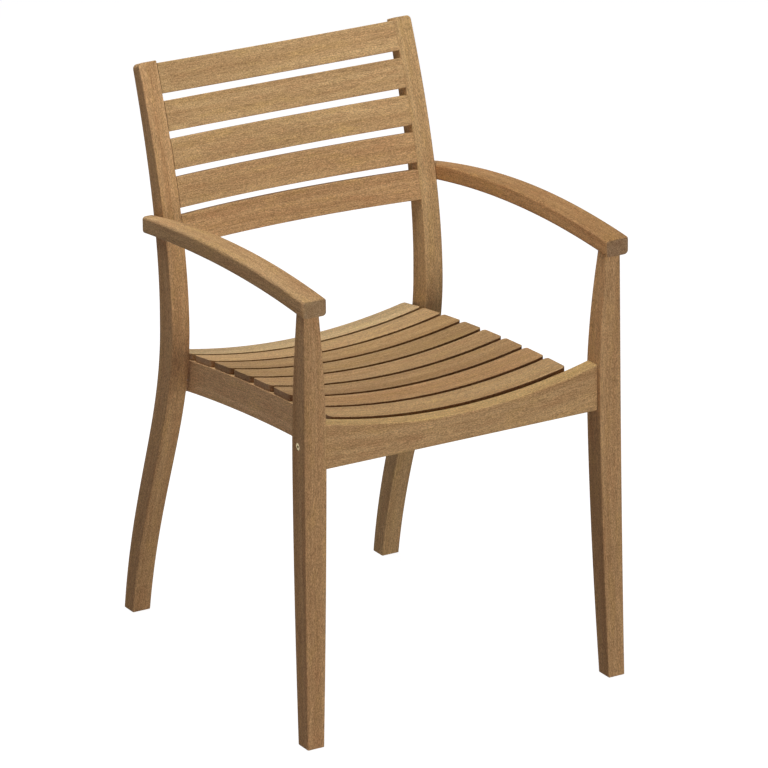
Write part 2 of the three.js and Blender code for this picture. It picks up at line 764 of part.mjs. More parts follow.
for (const [side, word] of [[-1, 'left'], [1, 'right']]) {
  addPiece(`front_leg_${word}`, frontLeg(side), teak);
  addPiece(`rear_post_${word}`, rearPost(side), teak);
  addPiece(`arm_${word}`, arm(side), teak);
  addPiece(`side_rail_${word}`, sideRail(side), teak);
  addPiece(`leg_bolt_${word}`, legBolt(side), brass);
  addPiece(`leg_bolt_nut_${word}`, legNut(side), steel);
  for (let i = 0; i < slatCount; i++) addPiece(`slat_dowel_${word}_${i + 1}`, slatDowel(side, i, 0), beech);
  addPiece(`arm_dowel_${word}_front`, armDowel(side, -1, 0), beech);
  addPiece(`arm_dowel_${word}_rear`, armDowel(side, 1, 0), beech);
  addPiece(`post_screw_${word}_lower`, postScrew(side, -1, 0), steel);
  addPiece(`post_screw_${word}_upper`, postScrew(side, 1, 0), steel);
}
addPiece('front_rail', frontRail(), teak);
addPiece('rear_rail', rearRail(), darkTeak);
addPiece('seat_bearer', seatBearer(), darkTeak);
for (let i = 0; i < slatCount; i++) addPiece(`seat_slat_${i + 1}`, seatSlat(i), teak);
for (let i = 0; i < backSlatCount; i++) addPiece(`back_slat_${i + 1}`, backSlat(i), teak);

export default chair;
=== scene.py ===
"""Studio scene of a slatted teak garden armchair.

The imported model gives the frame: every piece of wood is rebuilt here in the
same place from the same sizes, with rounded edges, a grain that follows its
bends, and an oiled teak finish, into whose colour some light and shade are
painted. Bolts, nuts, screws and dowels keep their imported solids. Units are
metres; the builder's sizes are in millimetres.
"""

import logging
import math
import random
from bisect import bisect_left
from dataclasses import dataclass
from enum import Enum
from typing import Any, Callable, Iterable, Iterator, Optional, Sequence, TypeVar, Union

import bmesh
import bpy
from mathutils import Matrix, Vector


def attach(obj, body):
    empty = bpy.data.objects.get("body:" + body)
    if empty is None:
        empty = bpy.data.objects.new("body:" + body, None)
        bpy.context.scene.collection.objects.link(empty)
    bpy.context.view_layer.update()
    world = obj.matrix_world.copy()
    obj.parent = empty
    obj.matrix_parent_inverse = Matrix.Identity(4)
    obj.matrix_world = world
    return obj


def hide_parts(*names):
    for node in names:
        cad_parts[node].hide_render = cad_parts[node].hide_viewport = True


log = logging.getLogger("armchair")
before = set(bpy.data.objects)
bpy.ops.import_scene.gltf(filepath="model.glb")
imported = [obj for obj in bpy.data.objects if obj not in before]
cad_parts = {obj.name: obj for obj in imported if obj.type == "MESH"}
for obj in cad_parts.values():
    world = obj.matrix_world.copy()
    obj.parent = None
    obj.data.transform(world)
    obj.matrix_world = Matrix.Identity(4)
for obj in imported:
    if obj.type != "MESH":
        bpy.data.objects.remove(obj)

MM = 0.001
GRAIN = "grain"
FIBRE = "fibre"
TINT = "tint"
WOOD_PREFIX = "teak_"

Corner = TypeVar("Corner")
Object, Mesh = bpy.types.Object, bpy.types.Mesh


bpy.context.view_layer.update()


def linked(name: str, data: bpy.types.ID) -> Object:
    """Makes an object and links it to the scene.

    Args:
        name: Name of the object.
        data: Its mesh, camera or light.

    Returns:
        The object.
    """
    obj = bpy.data.objects.new(name, data)
    bpy.context.scene.collection.objects.link(obj)
    return obj


class Side(Enum):
    """Left and right as seen from the front of the chair."""

    LEFT = -1
    RIGHT = 1

    @property
    def word(self) -> str:
        """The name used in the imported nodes."""
        return self.name.lower()


class Tone(Enum):
    """Tones of the boards, as shares of the wood's middle colour in red, green and blue."""

    MIDDLE = (1.0, 1.0, 1.0)
    PALE = (1.05, 1.09, 1.10)
    SUNNED = (1.28, 1.30, 1.38)
    # Painted sheen: glancing light on the rearmost seat slat, painted into its colour.
    BLEACHED = (1.34, 1.54, 1.70)
    STRAW = (1.22, 1.31, 1.22)
    TAWNY = (0.97, 0.94, 0.93)
    BROWN = (0.82, 0.82, 0.78)
    RUDDY = (0.83, 0.75, 0.66)


BOARD_TONES: dict[str, Tone] = {
    # The front rail's straw tone is partly painted light: its upright faces are darkened back in
    # its finish, leaving its top lighter.
    "front_rail": Tone.STRAW,
    # Painted sheen: the rearmost seat slat's glancing light is painted into its colour, and the
    # next slat's pale tone is partly painted sheen too.
    "seat_slat_1": Tone.BLEACHED,
    "seat_slat_2": Tone.PALE,
    "seat_slat_3": Tone.BROWN,
    "seat_slat_4": Tone.BROWN,
    "seat_slat_7": Tone.TAWNY,
    "seat_slat_8": Tone.PALE,
    "back_slat_1": Tone.PALE,
    "back_slat_2": Tone.PALE,
    "back_slat_3": Tone.PALE,
    "back_slat_5": Tone.TAWNY,
    "rear_post_left": Tone.TAWNY,
    "rear_post_right": Tone.PALE,
    "front_leg_left": Tone.TAWNY,
    "front_leg_right": Tone.TAWNY,
    "side_rail_left": Tone.SUNNED,
    "side_rail_right": Tone.SUNNED,
    "arm_right": Tone.RUDDY,
}


# Sizes


@dataclass(frozen=True)
class SeatSizes:
    """Sizes of the seat, in millimetres."""

    height: float = 474.6
    dish: float = 20.9
    fall: float = 29.8
    depth: float = 439.8
    count: int = 8
    end_gap: float = 5.3
    spacing: float = 8.0
    front_gap: float = 8.6
    rear_reach: float = 56.3
    thickness: float = 10.1
    corner: float = 6.0
    ease: float = 0.8


@dataclass(frozen=True)
class LegSizes:
    """Sizes of a front leg, in millimetres."""

    inset: float = 8.6
    splay: float = 7.0
    foot_width: float = 27.1
    seat_width: float = 35.7
    top_width: float = 23.8
    foot_depth: float = 28.0
    seat_depth: float = 36.7
    top_depth: float = 22.4
    waist_drop: float = 27.0
    toe: float = 5.0
    ease: float = 1.8
    foot_power: float = 1.69
    neck_power: float = 1.67


@dataclass(frozen=True)
class PostSizes:
    """Sizes of a rear post, in millimetres and degrees."""

    reach: float = 199.1
    splay: float = 3.0
    width: float = 29.5
    height: float = 869.2
    waist_rise: float = 15.3
    foot_sweep: float = 140.1
    top_sweep: float = 86.3
    foot_depth: float = 27.6
    seat_depth: float = 38.1
    top_depth: float = 21.0
    foot_lean: float = 10.6
    top_lean: float = 21.3
    ease: float = 1.6
    top_corner: float = 7.0
    foot_handle: float = 0.432
    lower_handle: float = 0.311
    upper_handle: float = 0.365
    top_handle: float = 0.284
    taper_power: float = 1.04


@dataclass(frozen=True)
class RailSizes:
    """Sizes of the rails and the bearer, in millimetres."""

    front_height: float = 62.9
    front_setback: float = 6.9
    front_thickness: float = 27.0
    front_ease: float = 4.0
    side_thickness: float = 24.0
    side_height: float = 50.1
    side_ease: float = 1.6
    ledge_ease: float = 0.7
    side_inset: float = 2.6
    lap_start: float = 4.6
    lap_step: float = 0.5
    lap_run: float = 150.0
    rear_thickness: float = 16.0
    rear_height: float = 44.0
    rear_setback: float = 22.0
    bearer_width: float = 26.0
    bearer_height: float = 23.0
    ease: float = 1.5


@dataclass(frozen=True)
class BackSizes:
    """Sizes of the back slats, in millimetres."""

    count: int = 5
    height: float = 44.6
    spacing: float = 11.1
    thickness: float = 15.0
    bow: float = 29.4
    drop: float = 4.1
    setback: float = 0.3
    ease: float = 1.2


@dataclass(frozen=True)
class ArmSizes:
    """Sizes of an arm, in millimetres."""

    nose: float = 10.8
    height: float = 680.6
    crown_place: float = 167.0
    arch_radius: float = 1778.0
    thickness: float = 25.0
    front_width: float = 38.3
    rear_width: float = 19.4
    taper_start: float = 54.0
    taper_power: float = 3.2
    end_setback: float = 1.6
    corner: float = 6.0
    inner_corner: float = 2.0
    ease: float = 4.0
    lower_ease: float = 5.0


@dataclass(frozen=True)
class BoltSizes:
    """Sizes of the bolt's hole in a front leg, in millimetres."""

    head_radius: float = 5.5
    height: float = 38.0
    sink: float = 5.6


@dataclass(frozen=True)
class ChairSizes:
    """All sizes of the chair, in millimetres."""

    seat: SeatSizes = SeatSizes()
    leg: LegSizes = LegSizes()
    post: PostSizes = PostSizes()
    rail: RailSizes = RailSizes()
    back: BackSizes = BackSizes()
    arm: ArmSizes = ArmSizes()
    bolt: BoltSizes = BoltSizes()
    gap: float = 0.3
    end_ease: float = 1.2


# Lines that several pieces share


class Bezier:
    """Cubic curve in the side view, as points (y, z), walked by its length."""

    SAMPLES = 400

    def __init__(self, points: Sequence[Sequence[float]]) -> None:
        """Measures the curve's length in small steps.

        Args:
            points: The four control points.
        """
        self._points = [Vector(p) for p in points]
        self._table = [0.0]
        last = self._at(0.0)
        for i in range(1, self.SAMPLES + 1):
            here = self._at(i / self.SAMPLES)
            self._table.append(self._table[-1] + (here - last).length)
            last = here
        self.length = self._table[-1]

    def _at(self, t: float) -> Vector:
        """Point at a parameter."""
        a, b, c, d = self._points
        s = 1.0 - t
        return a * s ** 3 + b * (3 * t * s * s) + c * (3 * t * t * s) + d * t ** 3

    def _share_to_parameter(self, share: float) -> float:
        """Turns a share of the curve's length into its parameter.

        Args:
            share: Share of the length.

        Returns:
            The parameter.
        """
        target = min(max(share, 0.0), 1.0) * self.length
        high = max(1, bisect_left(self._table, target))
        low = high - 1
        span = self._table[high] - self._table[low]
        part = (target - self._table[low]) / span if span else 0.0
        return (low + part) / (len(self._table) - 1)

    def point(self, share: float) -> Vector:
        """Point at a share of the curve's length."""
        return self._at(self._share_to_parameter(share))

    def tangent(self, share: float) -> Vector:
        """Unit direction of travel at a share of the curve's length.

        Args:
            share: Share of the length.

        Returns:
            The direction.
        """
        t = self._share_to_parameter(share)
        a, b, c, d = self._points
        s = 1.0 - t
        slope = (b - a) * (3 * s * s) + (c - b) * (6 * s * t) + (d - c) * (3 * t * t)
        return slope.normalized()


class ChairLines:
    """The curves that the pieces follow, in millimetres from the front legs' face."""

    HALVINGS = 30

    def __init__(self, sizes: ChairSizes) -> None:
        """Works out the shared lines.

        Args:
            sizes: Sizes of the whole chair.
        """
        self.sizes = sizes
        seat, post, arm, rail = sizes.seat, sizes.post, sizes.arm, sizes.rail
        self.slat_reach = self.post_inner(self.seat_line(seat.depth)) - seat.end_gap
        self.front_rail_back = rail.front_setback + rail.front_thickness
        self.front_rail_bottom = seat.height - rail.front_height
        self.side_rail_outer = self.post_inner(self.seat_line(seat.depth)) - sizes.gap
        self.side_rail_inner = self.side_rail_outer - rail.side_thickness
        self.rear_rail_front = seat.depth + rail.rear_setback
        self.rear_rail_back = self.rear_rail_front + rail.rear_thickness
        waist_z = seat.height + post.waist_rise
        rise = post.height - waist_z
        foot, top = math.radians(post.foot_lean), math.radians(post.top_lean)
        foot_y, top_y = seat.depth + post.foot_sweep, seat.depth + post.top_sweep
        self.leg_curve = Bezier([
            (foot_y, 0.0),
            (foot_y - math.sin(foot) * waist_z * post.foot_handle,
             math.cos(foot) * waist_z * post.foot_handle),
            (seat.depth, waist_z - waist_z * post.lower_handle),
            (seat.depth, waist_z),
        ])
        self.back_curve = Bezier([
            (seat.depth, waist_z),
            (seat.depth, waist_z + rise * post.upper_handle),
            (top_y - math.sin(top) * rise * post.top_handle,
             post.height - math.cos(top) * rise * post.top_handle),
            (top_y, post.height),
        ])
        drop = self.back_curve.length * (post.height - self.arm_top(seat.depth)) / rise
        place, _, _ = self.back_place(drop)
        depth = self.post_back_depth(1.0 - drop / self.back_curve.length)
        self.arm_end = place.x + depth - arm.end_setback
        self.arm_inner = (
            self.post_inner(self.arm_top(seat.depth) - arm.thickness)
            + post.width + sizes.gap
        )
        self.leg_top = self.arm_underside(sizes.leg.top_depth / 2) - sizes.gap
        self.leg_waist = seat.height - sizes.leg.waist_drop
        foremost = min(-arm.nose, -sizes.leg.toe)
        rearmost = max(foot_y + post.foot_depth, self.arm_end)
        self.middle_y = (foremost + rearmost) / 2

    def to_frame(self, p: Vector) -> Vector:
        """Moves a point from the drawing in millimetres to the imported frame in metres."""
        return Vector((p.x, p.y - self.middle_y, p.z)) * MM

    # Seat

    def seat_line(self, y: float) -> float:
        """Height of the slats' ends."""
        seat = self.sizes.seat
        return seat.height - seat.fall * (y / seat.depth) ** 2

    def seat_slope(self, y: float) -> float:
        """Slope of the seat along the chair."""
        seat = self.sizes.seat
        return -2.0 * seat.fall * y / seat.depth ** 2

    def dish_at(self, x: float) -> float:
        """How far the seat lies below its ends."""
        return self.sizes.seat.dish * (1.0 - (x / self.slat_reach) ** 2)

    def seat_underside(self, x: float, y: float) -> float:
        """Height of the slats' underside."""
        return self.seat_line(y) - self.dish_at(x) - self.sizes.seat.thickness

    def ledge(self, x: float, y: float) -> float:
        """Height of the rails that carry the slats."""
        return self.seat_underside(x, y) - self.sizes.gap

    # Posts

    def post_inner(self, z: float) -> float:
        """Inner face of a rear post."""
        post = self.sizes.post
        return post.reach + post.splay * (0.5 - z / post.height)

    def post_front(self, z: float) -> float:
        """Front face of a rear post below the seat.

        Args:
            z: Height.

        Returns:
            Its place.
        """
        low, high = 0.0, 1.0
        for _ in range(self.HALVINGS):
            middle = (low + high) / 2
            if self.leg_curve.point(middle).y < z:
                low = middle
            else:
                high = middle
        return self.leg_curve.point(low).x

    def back_place(self, below: float) -> tuple[Vector, Vector, Vector]:
        """Point, direction along and direction rearward at a distance below the top."""
        share = 1.0 - below / self.back_curve.length
        along = self.back_curve.tangent(share)
        return self.back_curve.point(share), along, Vector((along.y, -along.x))

    def post_back_depth(self, share: float) -> float:
        """Thickness of a post above its waist."""
        post = self.sizes.post
        drawn_in = (post.seat_depth - post.top_depth) * share ** post.taper_power
        return post.seat_depth - drawn_in

    def post_leg_depth(self, share: float) -> float:
        """Level thickness of a post below its waist."""
        post = self.sizes.post
        swell = math.sin(share * math.pi / 2)
        return post.foot_depth + (post.seat_depth - post.foot_depth) * swell

    # Arms

    def arm_top(self, y: float) -> float:
        """Top of an arm."""
        arm = self.sizes.arm
        from_crown = math.sqrt(arm.arch_radius ** 2 - (y - arm.crown_place) ** 2)
        return arm.height - arm.arch_radius + from_crown

    def arm_underside(self, y: float) -> float:
        """Underside of an arm."""
        return self.arm_top(y) - self.sizes.arm.thickness

    def arm_outer(self, y: float) -> float:
        """Outer face of an arm.

        Args:
            y: Place along the chair.

        Returns:
            Its place across it.
        """
        arm = self.sizes.arm
        share = max(0.0, (y - arm.taper_start) / (self.arm_end - arm.taper_start))
        drawn_in = (arm.front_width - arm.rear_width) * share ** arm.taper_power
        return self.arm_inner + arm.front_width - drawn_in

    # Front legs

    def _leg_swell(self, z: float, foot: float, waist: float, top: float) -> float:
        """A measure of a front leg that swells from the foot and the top to the waist.

        Args:
            z: Height.
            foot: The measure at the foot.
            waist: The measure at the waist.
            top: The measure at the top.

        Returns:
            The measure at that height.
        """
        leg = self.sizes.leg
        if z < self.leg_waist:
            return waist - (waist - foot) * (1.0 - z / self.leg_waist) ** leg.foot_power
        share = max(0.0, (z - self.leg_waist) / (self.leg_top - self.leg_waist))
        return waist - (waist - top) * share ** leg.neck_power

    def leg_outer(self, z: float) -> float:
        """Outer face of a front leg."""
        top = self.arm_inner + self.sizes.arm.front_width - self.sizes.leg.inset
        return top + self.sizes.leg.splay * (1.0 - z / self.leg_top)

    def leg_inner(self, z: float) -> float:
        """Inner face of a front leg."""
        leg = self.sizes.leg
        return self.leg_outer(z) - self._leg_swell(z, leg.foot_width, leg.seat_width, leg.top_width)

    def leg_front(self, z: float) -> float:
        """Front face of a front leg."""
        leg = self.sizes.leg
        return -leg.toe * max(0.0, 1.0 - z / self.leg_waist) ** leg.foot_power

    def leg_depth(self, z: float) -> float:
        """Depth of a front leg."""
        leg = self.sizes.leg
        return self._leg_swell(z, leg.foot_depth, leg.seat_depth, leg.top_depth)


# Wood meshes


def quarter_turn(step: int, steps: int) -> float:
    """Angle of one of the steps in a quarter of a circle."""
    return step / steps * math.pi / 2


def eased(radius: float, distance: float) -> float:
    """How far a rounding draws a face in, at a distance from the end.

    Args:
        radius: Radius of the rounding.
        distance: Distance from the end.

    Returns:
        The inset, zero beyond the rounding.
    """
    if distance >= radius:
        return 0.0
    return radius - math.sqrt(max(0.0, radius ** 2 - (radius - distance) ** 2))


def stations(
    start: float, end: float, steps: int, ends: tuple[float, float] = (0.0, 0.0), facets: int = 4,
) -> list[float]:
    """Places along a stick, closer together in its rounded ends.

    Args:
        start: First place.
        end: Last place.
        steps: Steps between the roundings.
        ends: Radius of the rounding at the start and at the end.
        facets: Steps in each rounding.

    Returns:
        The places in order.
    """
    def rounding(radius: float) -> list[float]:
        """Distances from the end of a rounding."""
        steps_in = range(facets) if radius else ()
        return [radius * (1 - math.cos(quarter_turn(i, facets))) for i in steps_in]

    first, last = ends
    inner = [start + first + (end - last - start - first) * i / steps for i in range(steps + 1)]
    near = [start + distance for distance in rounding(first)]
    far = [end - distance for distance in rounding(last)]
    return near + inner + far[::-1]


def around(
    corner: Callable[[Any, Any], Corner], first: tuple[Any, Any], second: tuple[Any, Any],
) -> list[Corner]:
    """The four corners of a section, in order round it.

    Args:
        corner: Gives a corner from one value of each pair.
        first: The pair that changes from the first corner to the next one.
        second: The pair that changes after that.

    Returns:
        The corners.
    """
    (a, b), (c, d) = first, second
    return [corner(a, c), corner(b, c), corner(b, d), corner(a, d)]


def even_faces(obj: Object) -> None:
    """Lets the large faces of an object set the shading of the roundings beside them."""
    obj.modifiers.new("even_faces", "WEIGHTED_NORMAL").keep_sharp = True


@dataclass
class Section:
    """One cross-section of a stick: four corners in order and the rounding of each edge."""

    corners: list[Vector]
    ease: Union[float, Sequence[float]]
    inset: float = 0.0
    LEAST_EASE = 0.25

    def ring(self, facets: int) -> list[Vector]:
        """Points round the section.

        Args:
            facets: Steps in each rounded corner.

        Returns:
            The ring, the same number of points for every section.
        """
        points = []
        corners = self._inset_corners()
        eases = self.ease if isinstance(self.ease, Sequence) else [self.ease] * 4
        for i, corner in enumerate(corners):
            ease = max(eases[i] - self.inset, eases[i] * self.LEAST_EASE)
            to_last = (corners[i - 1] - corner).normalized() * ease
            to_next = (corners[(i + 1) % 4] - corner).normalized() * ease
            for step in range(facets + 1):
                angle = quarter_turn(step, facets)
                from_last, from_next = 1 - math.sin(angle), 1 - math.cos(angle)
                points.append(corner + to_last * from_last + to_next * from_next)
        return points

    def _inset_corners(self) -> list[Vector]:
        """The corners, drawn in by the inset.

        Returns:
            The four corners.
        """
        if not self.inset:
            return self.corners
        a, b, c, d = self.corners
        across, up = (b - a).normalized() * self.inset, (d - a).normalized() * self.inset
        return [a + across + up, b - across + up, c - across - up, d + across - up]

    def axes(self) -> tuple[Vector, Vector, Vector]:
        """Middle of the section and its two unit directions."""
        a, b, c, d = self.corners
        return (a + b + c + d) / 4, (b - a).normalized(), (d - a).normalized()


@dataclass
class Stick:
    """A piece of wood lofted through sections in millimetres, with a grain that follows it.

    Its seed picks the part of the board that it was sawn from.
    """

    FACETS = 4
    SHARP = math.radians(50)
    FIBRE_REACH = 25.0
    BOARD_REACH = 9.0
    SAWN_TILT = 0.35

    name: str
    sections: Sequence[Section]
    seed: int

    def build(self, lines: ChairLines) -> Object:
        """Makes the Blender object.

        Args:
            lines: The chair's shared lines, for the frame.

        Returns:
            The object, with its grain stored on its points.
        """
        rings = [section.ring(self.FACETS) for section in self.sections]
        count, last = len(rings[0]), len(rings[0]) * (len(rings) - 1)
        faces = []
        for start in range(0, last, count):
            for i in range(count):
                j = (i + 1) % count
                faces.append((start + i, start + j, start + count + j, start + count + i))
        faces.append(tuple(range(count - 1, -1, -1)))
        faces.append(tuple(range(last, last + count)))
        mesh = bpy.data.meshes.new(self.name)
        mesh.from_pydata([lines.to_frame(p) for ring in rings for p in ring], [], faces)
        self._store_grain(mesh, rings)
        shell = bmesh.new()
        shell.from_mesh(mesh)
        bmesh.ops.recalc_face_normals(shell, faces=shell.faces)
        shell.to_mesh(mesh)
        shell.free()
        mesh.shade_smooth()
        mesh.set_sharp_from_angle(angle=self.SHARP)
        obj = linked(self.name, mesh)
        even_faces(obj)
        return obj

    def _store_grain(self, mesh: Mesh, rings: Sequence[Sequence[Vector]]) -> None:
        """Stores each point's place in the board, the fibres' direction and the board's tone, in
        which some boards carry painted light.

        Args:
            mesh: The piece's mesh.
            rings: Its points, section by section.
        """
        rng, reach = random.Random(self.seed), self.BOARD_REACH
        shift = Vector([rng.uniform(-reach, reach) for _ in range(3)])
        tilt = rng.uniform(-self.SAWN_TILT, self.SAWN_TILT)
        tone = BOARD_TONES.get(self.name.removeprefix(WOOD_PREFIX), Tone.MIDDLE)
        axes = [section.axes() for section in self.sections]
        middles = [middle for middle, _, _ in axes]
        grain, fibres, along, last = [], [], 0.0, middles[0]
        for (middle, across, into), ring in zip(axes, rings):
            along += (middle - last).length * MM
            last = middle
            for p in ring:
                u, v = (p - middle).dot(across) * MM, (p - middle).dot(into) * MM
                u, v = (
                    u * math.cos(tilt) - v * math.sin(tilt),
                    u * math.sin(tilt) + v * math.cos(tilt),
                )
                grain.append((along + shift.x, u + shift.y, v + shift.z))
            near = [other for other in middles if (other - middle).length < self.FIBRE_REACH]
            fibres += [(near[-1] - near[0]).normalized()] * len(ring)
        stored = {GRAIN: grain, FIBRE: fibres, TINT: [tone.value] * len(grain)}
        for name, vectors in stored.items():
            attribute = mesh.attributes.new(name, "FLOAT_VECTOR", "POINT")
            numbers = [number for vector in vectors for number in vector]
            attribute.data.foreach_set("vector", numbers)


@dataclass
class Joiner:
    """Cuts every wooden piece of the chair to the shared lines."""

    LEG_STEPS, POST_STEPS, ARM_STEPS, SLAT_STEPS = 48, 60, 80, 56
    SIDE_RAIL_STEPS, FRONT_RAIL_STEPS, HIDDEN_STEPS = 48, 64, 40
    POST_TOP_FACETS, ARM_FACETS, SEAT_FACETS = 9, 10, 8
    BORE_SEGMENTS = 48
    SEED_STEP = 7

    lines: ChairLines
    seed: int = 100

    @property
    def sizes(self) -> ChairSizes:
        """Sizes of the whole chair."""
        return self.lines.sizes

    def _make(self, name: str, sections: Sequence[Section]) -> Object:
        """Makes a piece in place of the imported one.

        Args:
            name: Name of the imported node.
            sections: The piece's sections, in order.

        Returns:
            The object.
        """
        self.seed += self.SEED_STEP
        obj = Stick(WOOD_PREFIX + name, sections, self.seed).build(self.lines)
        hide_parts(name)
        return obj

    def front_leg(self, side: Side) -> Object:
        """Front leg, tapered both ways from its waist.

        Args:
            side: Side of the chair.

        Returns:
            The object.
        """
        lines, leg, gap, end = self.lines, self.sizes.leg, self.sizes.gap, self.sizes.end_ease
        sections = []
        for z in stations(0.0, lines.leg_top, self.LEG_STEPS, (end, 0.0)):
            front = lines.leg_front(z)
            corners = around(
                lambda x, y: Vector((side.value * x, y, z)),
                (lines.leg_outer(z), lines.leg_inner(z)), (front, front + lines.leg_depth(z)),
            )
            if z == lines.leg_top:
                for p in corners:
                    p.z = lines.arm_underside(p.y) - gap
            sections.append(Section(corners, leg.ease, eased(end, z)))
        obj = self._make(f"front_leg_{side.word}", sections)
        self._bore_bolt_hole(obj, side)
        return obj

    def _bore_bolt_hole(self, obj: Object, side: Side) -> None:
        """Sinks the round hole for the bolt's head into the leg's outer face.

        Args:
            obj: The leg.
            side: Side of the chair.
        """
        rail, bolt, gap = self.sizes.rail, self.sizes.bolt, self.sizes.gap
        z = self.lines.front_rail_bottom + bolt.height
        face = Vector((
            side.value * self.lines.leg_outer(z), rail.front_setback + rail.front_thickness / 2, z,
        ))
        cutter = self._cutter(bolt.head_radius + gap, (bolt.sink + gap) * 2)
        cutter.location = self.lines.to_frame(face)
        cut = obj.modifiers.new("bolt_hole", "BOOLEAN")
        cut.operation, cut.solver, cut.object = "DIFFERENCE", "EXACT", cutter
        obj.modifiers.move(len(obj.modifiers) - 1, 0)
        bpy.context.view_layer.update()
        graph = bpy.context.evaluated_depsgraph_get()
        solid = bpy.data.meshes.new_from_object(obj.evaluated_get(graph))
        obj.modifiers.clear()
        self._carry_grain(obj.data, solid, cutter.location.z)
        solid.set_sharp_from_angle(angle=Stick.SHARP)
        axis = cutter.location.yz
        for polygon in solid.polygons:
            reach = min((solid.vertices[i].co.yz - axis).length for i in polygon.vertices)
            polygon.use_smooth = reach > (bolt.head_radius + 2 * gap) * MM
        obj.data = solid
        bpy.data.objects.remove(cutter)
        even_faces(obj)

    def _cutter(self, radius: float, length: float) -> Object:
        """Makes a cylinder across the chair, with sizes in millimetres.

        Args:
            radius: Its radius.
            length: Its length.

        Returns:
            The object.
        """
        mesh = bpy.data.meshes.new("bolt_hole")
        shell = bmesh.new()
        bmesh.ops.create_cone(
            shell, cap_ends=True, segments=self.BORE_SEGMENTS, radius1=radius * MM,
            radius2=radius * MM, depth=length * MM, matrix=Matrix.Rotation(math.pi / 2, 4, "Y"),
        )
        shell.to_mesh(mesh)
        shell.free()
        return linked("bolt_hole", mesh)

    @staticmethod
    def _carry_grain(board: Mesh, cut: Mesh, height: float) -> None:
        """Gives the new points of a cut the grain, fibres and tone of the board round them.

        Args:
            board: The mesh before the cut.
            cut: The mesh after it.
            height: Height of the cut, in metres.
        """
        ring = 4 * (Stick.FACETS + 1)
        starts = range(0, len(board.vertices) - ring, ring)
        first = min(starts, key=lambda i: abs(board.vertices[i].co.z - height))
        picks = (first, first + ring // 4, first + ring // 2, first + ring)
        places = [board.vertices[i].co for i in picks]
        grains = [board.attributes[GRAIN].data[i].vector for i in picks]
        apart = Matrix([place - places[0] for place in places[1:]]).transposed()
        turn = Matrix([grain - grains[0] for grain in grains[1:]]).transposed() @ apart.inverted()
        fibre, tint = (board.attributes[name].data[first].vector for name in (FIBRE, TINT))
        for vertex, stored in zip(cut.vertices, cut.attributes[TINT].data):
            if stored.vector.length < tint.length / 2:
                stored.vector = tint
                cut.attributes[FIBRE].data[vertex.index].vector = fibre
                place = grains[0] + turn @ (vertex.co - places[0])
                cut.attributes[GRAIN].data[vertex.index].vector = place

    def rear_post(self, side: Side) -> Object:
        """Rear post, one sabre-curved plank from foot to top.

        Args:
            side: Side of the chair.

        Returns:
            The object.
        """
        lines, post, end = self.lines, self.sizes.post, self.sizes.end_ease
        leg, back = lines.leg_curve.length, lines.back_curve.length

        def corner(reach: float, p: Vector) -> Vector:
            """Corner at a distance outward from the post's inner face."""
            return Vector((side.value * (lines.post_inner(p.y) + reach), p.x, p.y))

        sections = []
        for along in stations(0.0, leg, self.POST_STEPS, (end, 0.0))[:-1]:
            front = lines.leg_curve.point(along / leg)
            rear = front + Vector((lines.post_leg_depth(along / leg), 0.0))
            corners = around(corner, (post.width, 0.0), (front, rear))
            sections.append(Section(corners, post.ease, eased(end, along)))
        ends = (0.0, post.top_corner)
        for along in stations(0.0, back, self.POST_STEPS, ends, self.POST_TOP_FACETS):
            front, _, rearward = lines.back_place(back - along)
            rear = front + rearward * lines.post_back_depth(along / back)
            inset = eased(post.ease, back - along)
            outer = post.width - max(0.0, eased(post.top_corner, back - along) - inset)
            corners = around(corner, (outer, 0.0), (front, rear))
            sections.append(Section(corners, post.ease, inset))
        return self._make(f"rear_post_{side.word}", sections)

    def arm(self, side: Side) -> Object:
        """Arm, arched and drawn in towards the post.

        Args:
            side: Side of the chair.

        Returns:
            The object.
        """
        lines, arm, end = self.lines, self.sizes.arm, self.sizes.end_ease
        eases = (arm.ease, arm.ease, arm.lower_ease, arm.lower_ease)
        ends = (arm.corner, arm.corner)
        sections = []
        for y in stations(-arm.nose, lines.arm_end, self.ARM_STEPS, ends, self.ARM_FACETS):
            from_nose = y + arm.nose
            to_end = min(from_nose, lines.arm_end - y)
            outer = lines.arm_outer(y) - eased(arm.corner, to_end)
            inner = lines.arm_inner + eased(arm.inner_corner, from_nose)
            lip = eased(end, to_end)
            sections.append(Section(around(
                lambda x, z: Vector((side.value * x, y, z)),
                (outer, inner), (lines.arm_top(y) - lip, lines.arm_underside(y) + lip),
            ), eases))
        return self._make(f"arm_{side.word}", sections)

    def _cross_rail(
        self, name: str, places: Iterable[float], depths: tuple[float, float], bottom: float,
        top: Callable[[float, float], float], ease: float,
    ) -> Object:
        """A rail that runs across the chair, with a level underside.

        Args:
            name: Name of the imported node.
            places: Places of its sections.
            depths: Places of its front and rear faces.
            bottom: Height of its underside.
            top: Height of its top at a place.
            ease: Rounding of its edges.

        Returns:
            The object.
        """
        return self._make(name, [
            Section(around(
                lambda is_top, y: Vector((x, y, top(x, y) if is_top else bottom)),
                (True, False), depths,
            ), ease) for x in places
        ])

    def front_rail(self) -> Object:
        """Front rail, straight below and hollowed above.

        Returns:
            The object.
        """
        lines, rail, seat = self.lines, self.sizes.rail, self.sizes.seat.height
        heights = (lines.front_rail_bottom, lines.leg_waist, seat)
        reach = min(lines.leg_inner(z) for z in heights) - self.sizes.gap
        return self._cross_rail(
            "front_rail", stations(-reach, reach, self.FRONT_RAIL_STEPS),
            (rail.front_setback, lines.front_rail_back), lines.front_rail_bottom,
            lambda x, y: seat - lines.dish_at(x), rail.front_ease,
        )

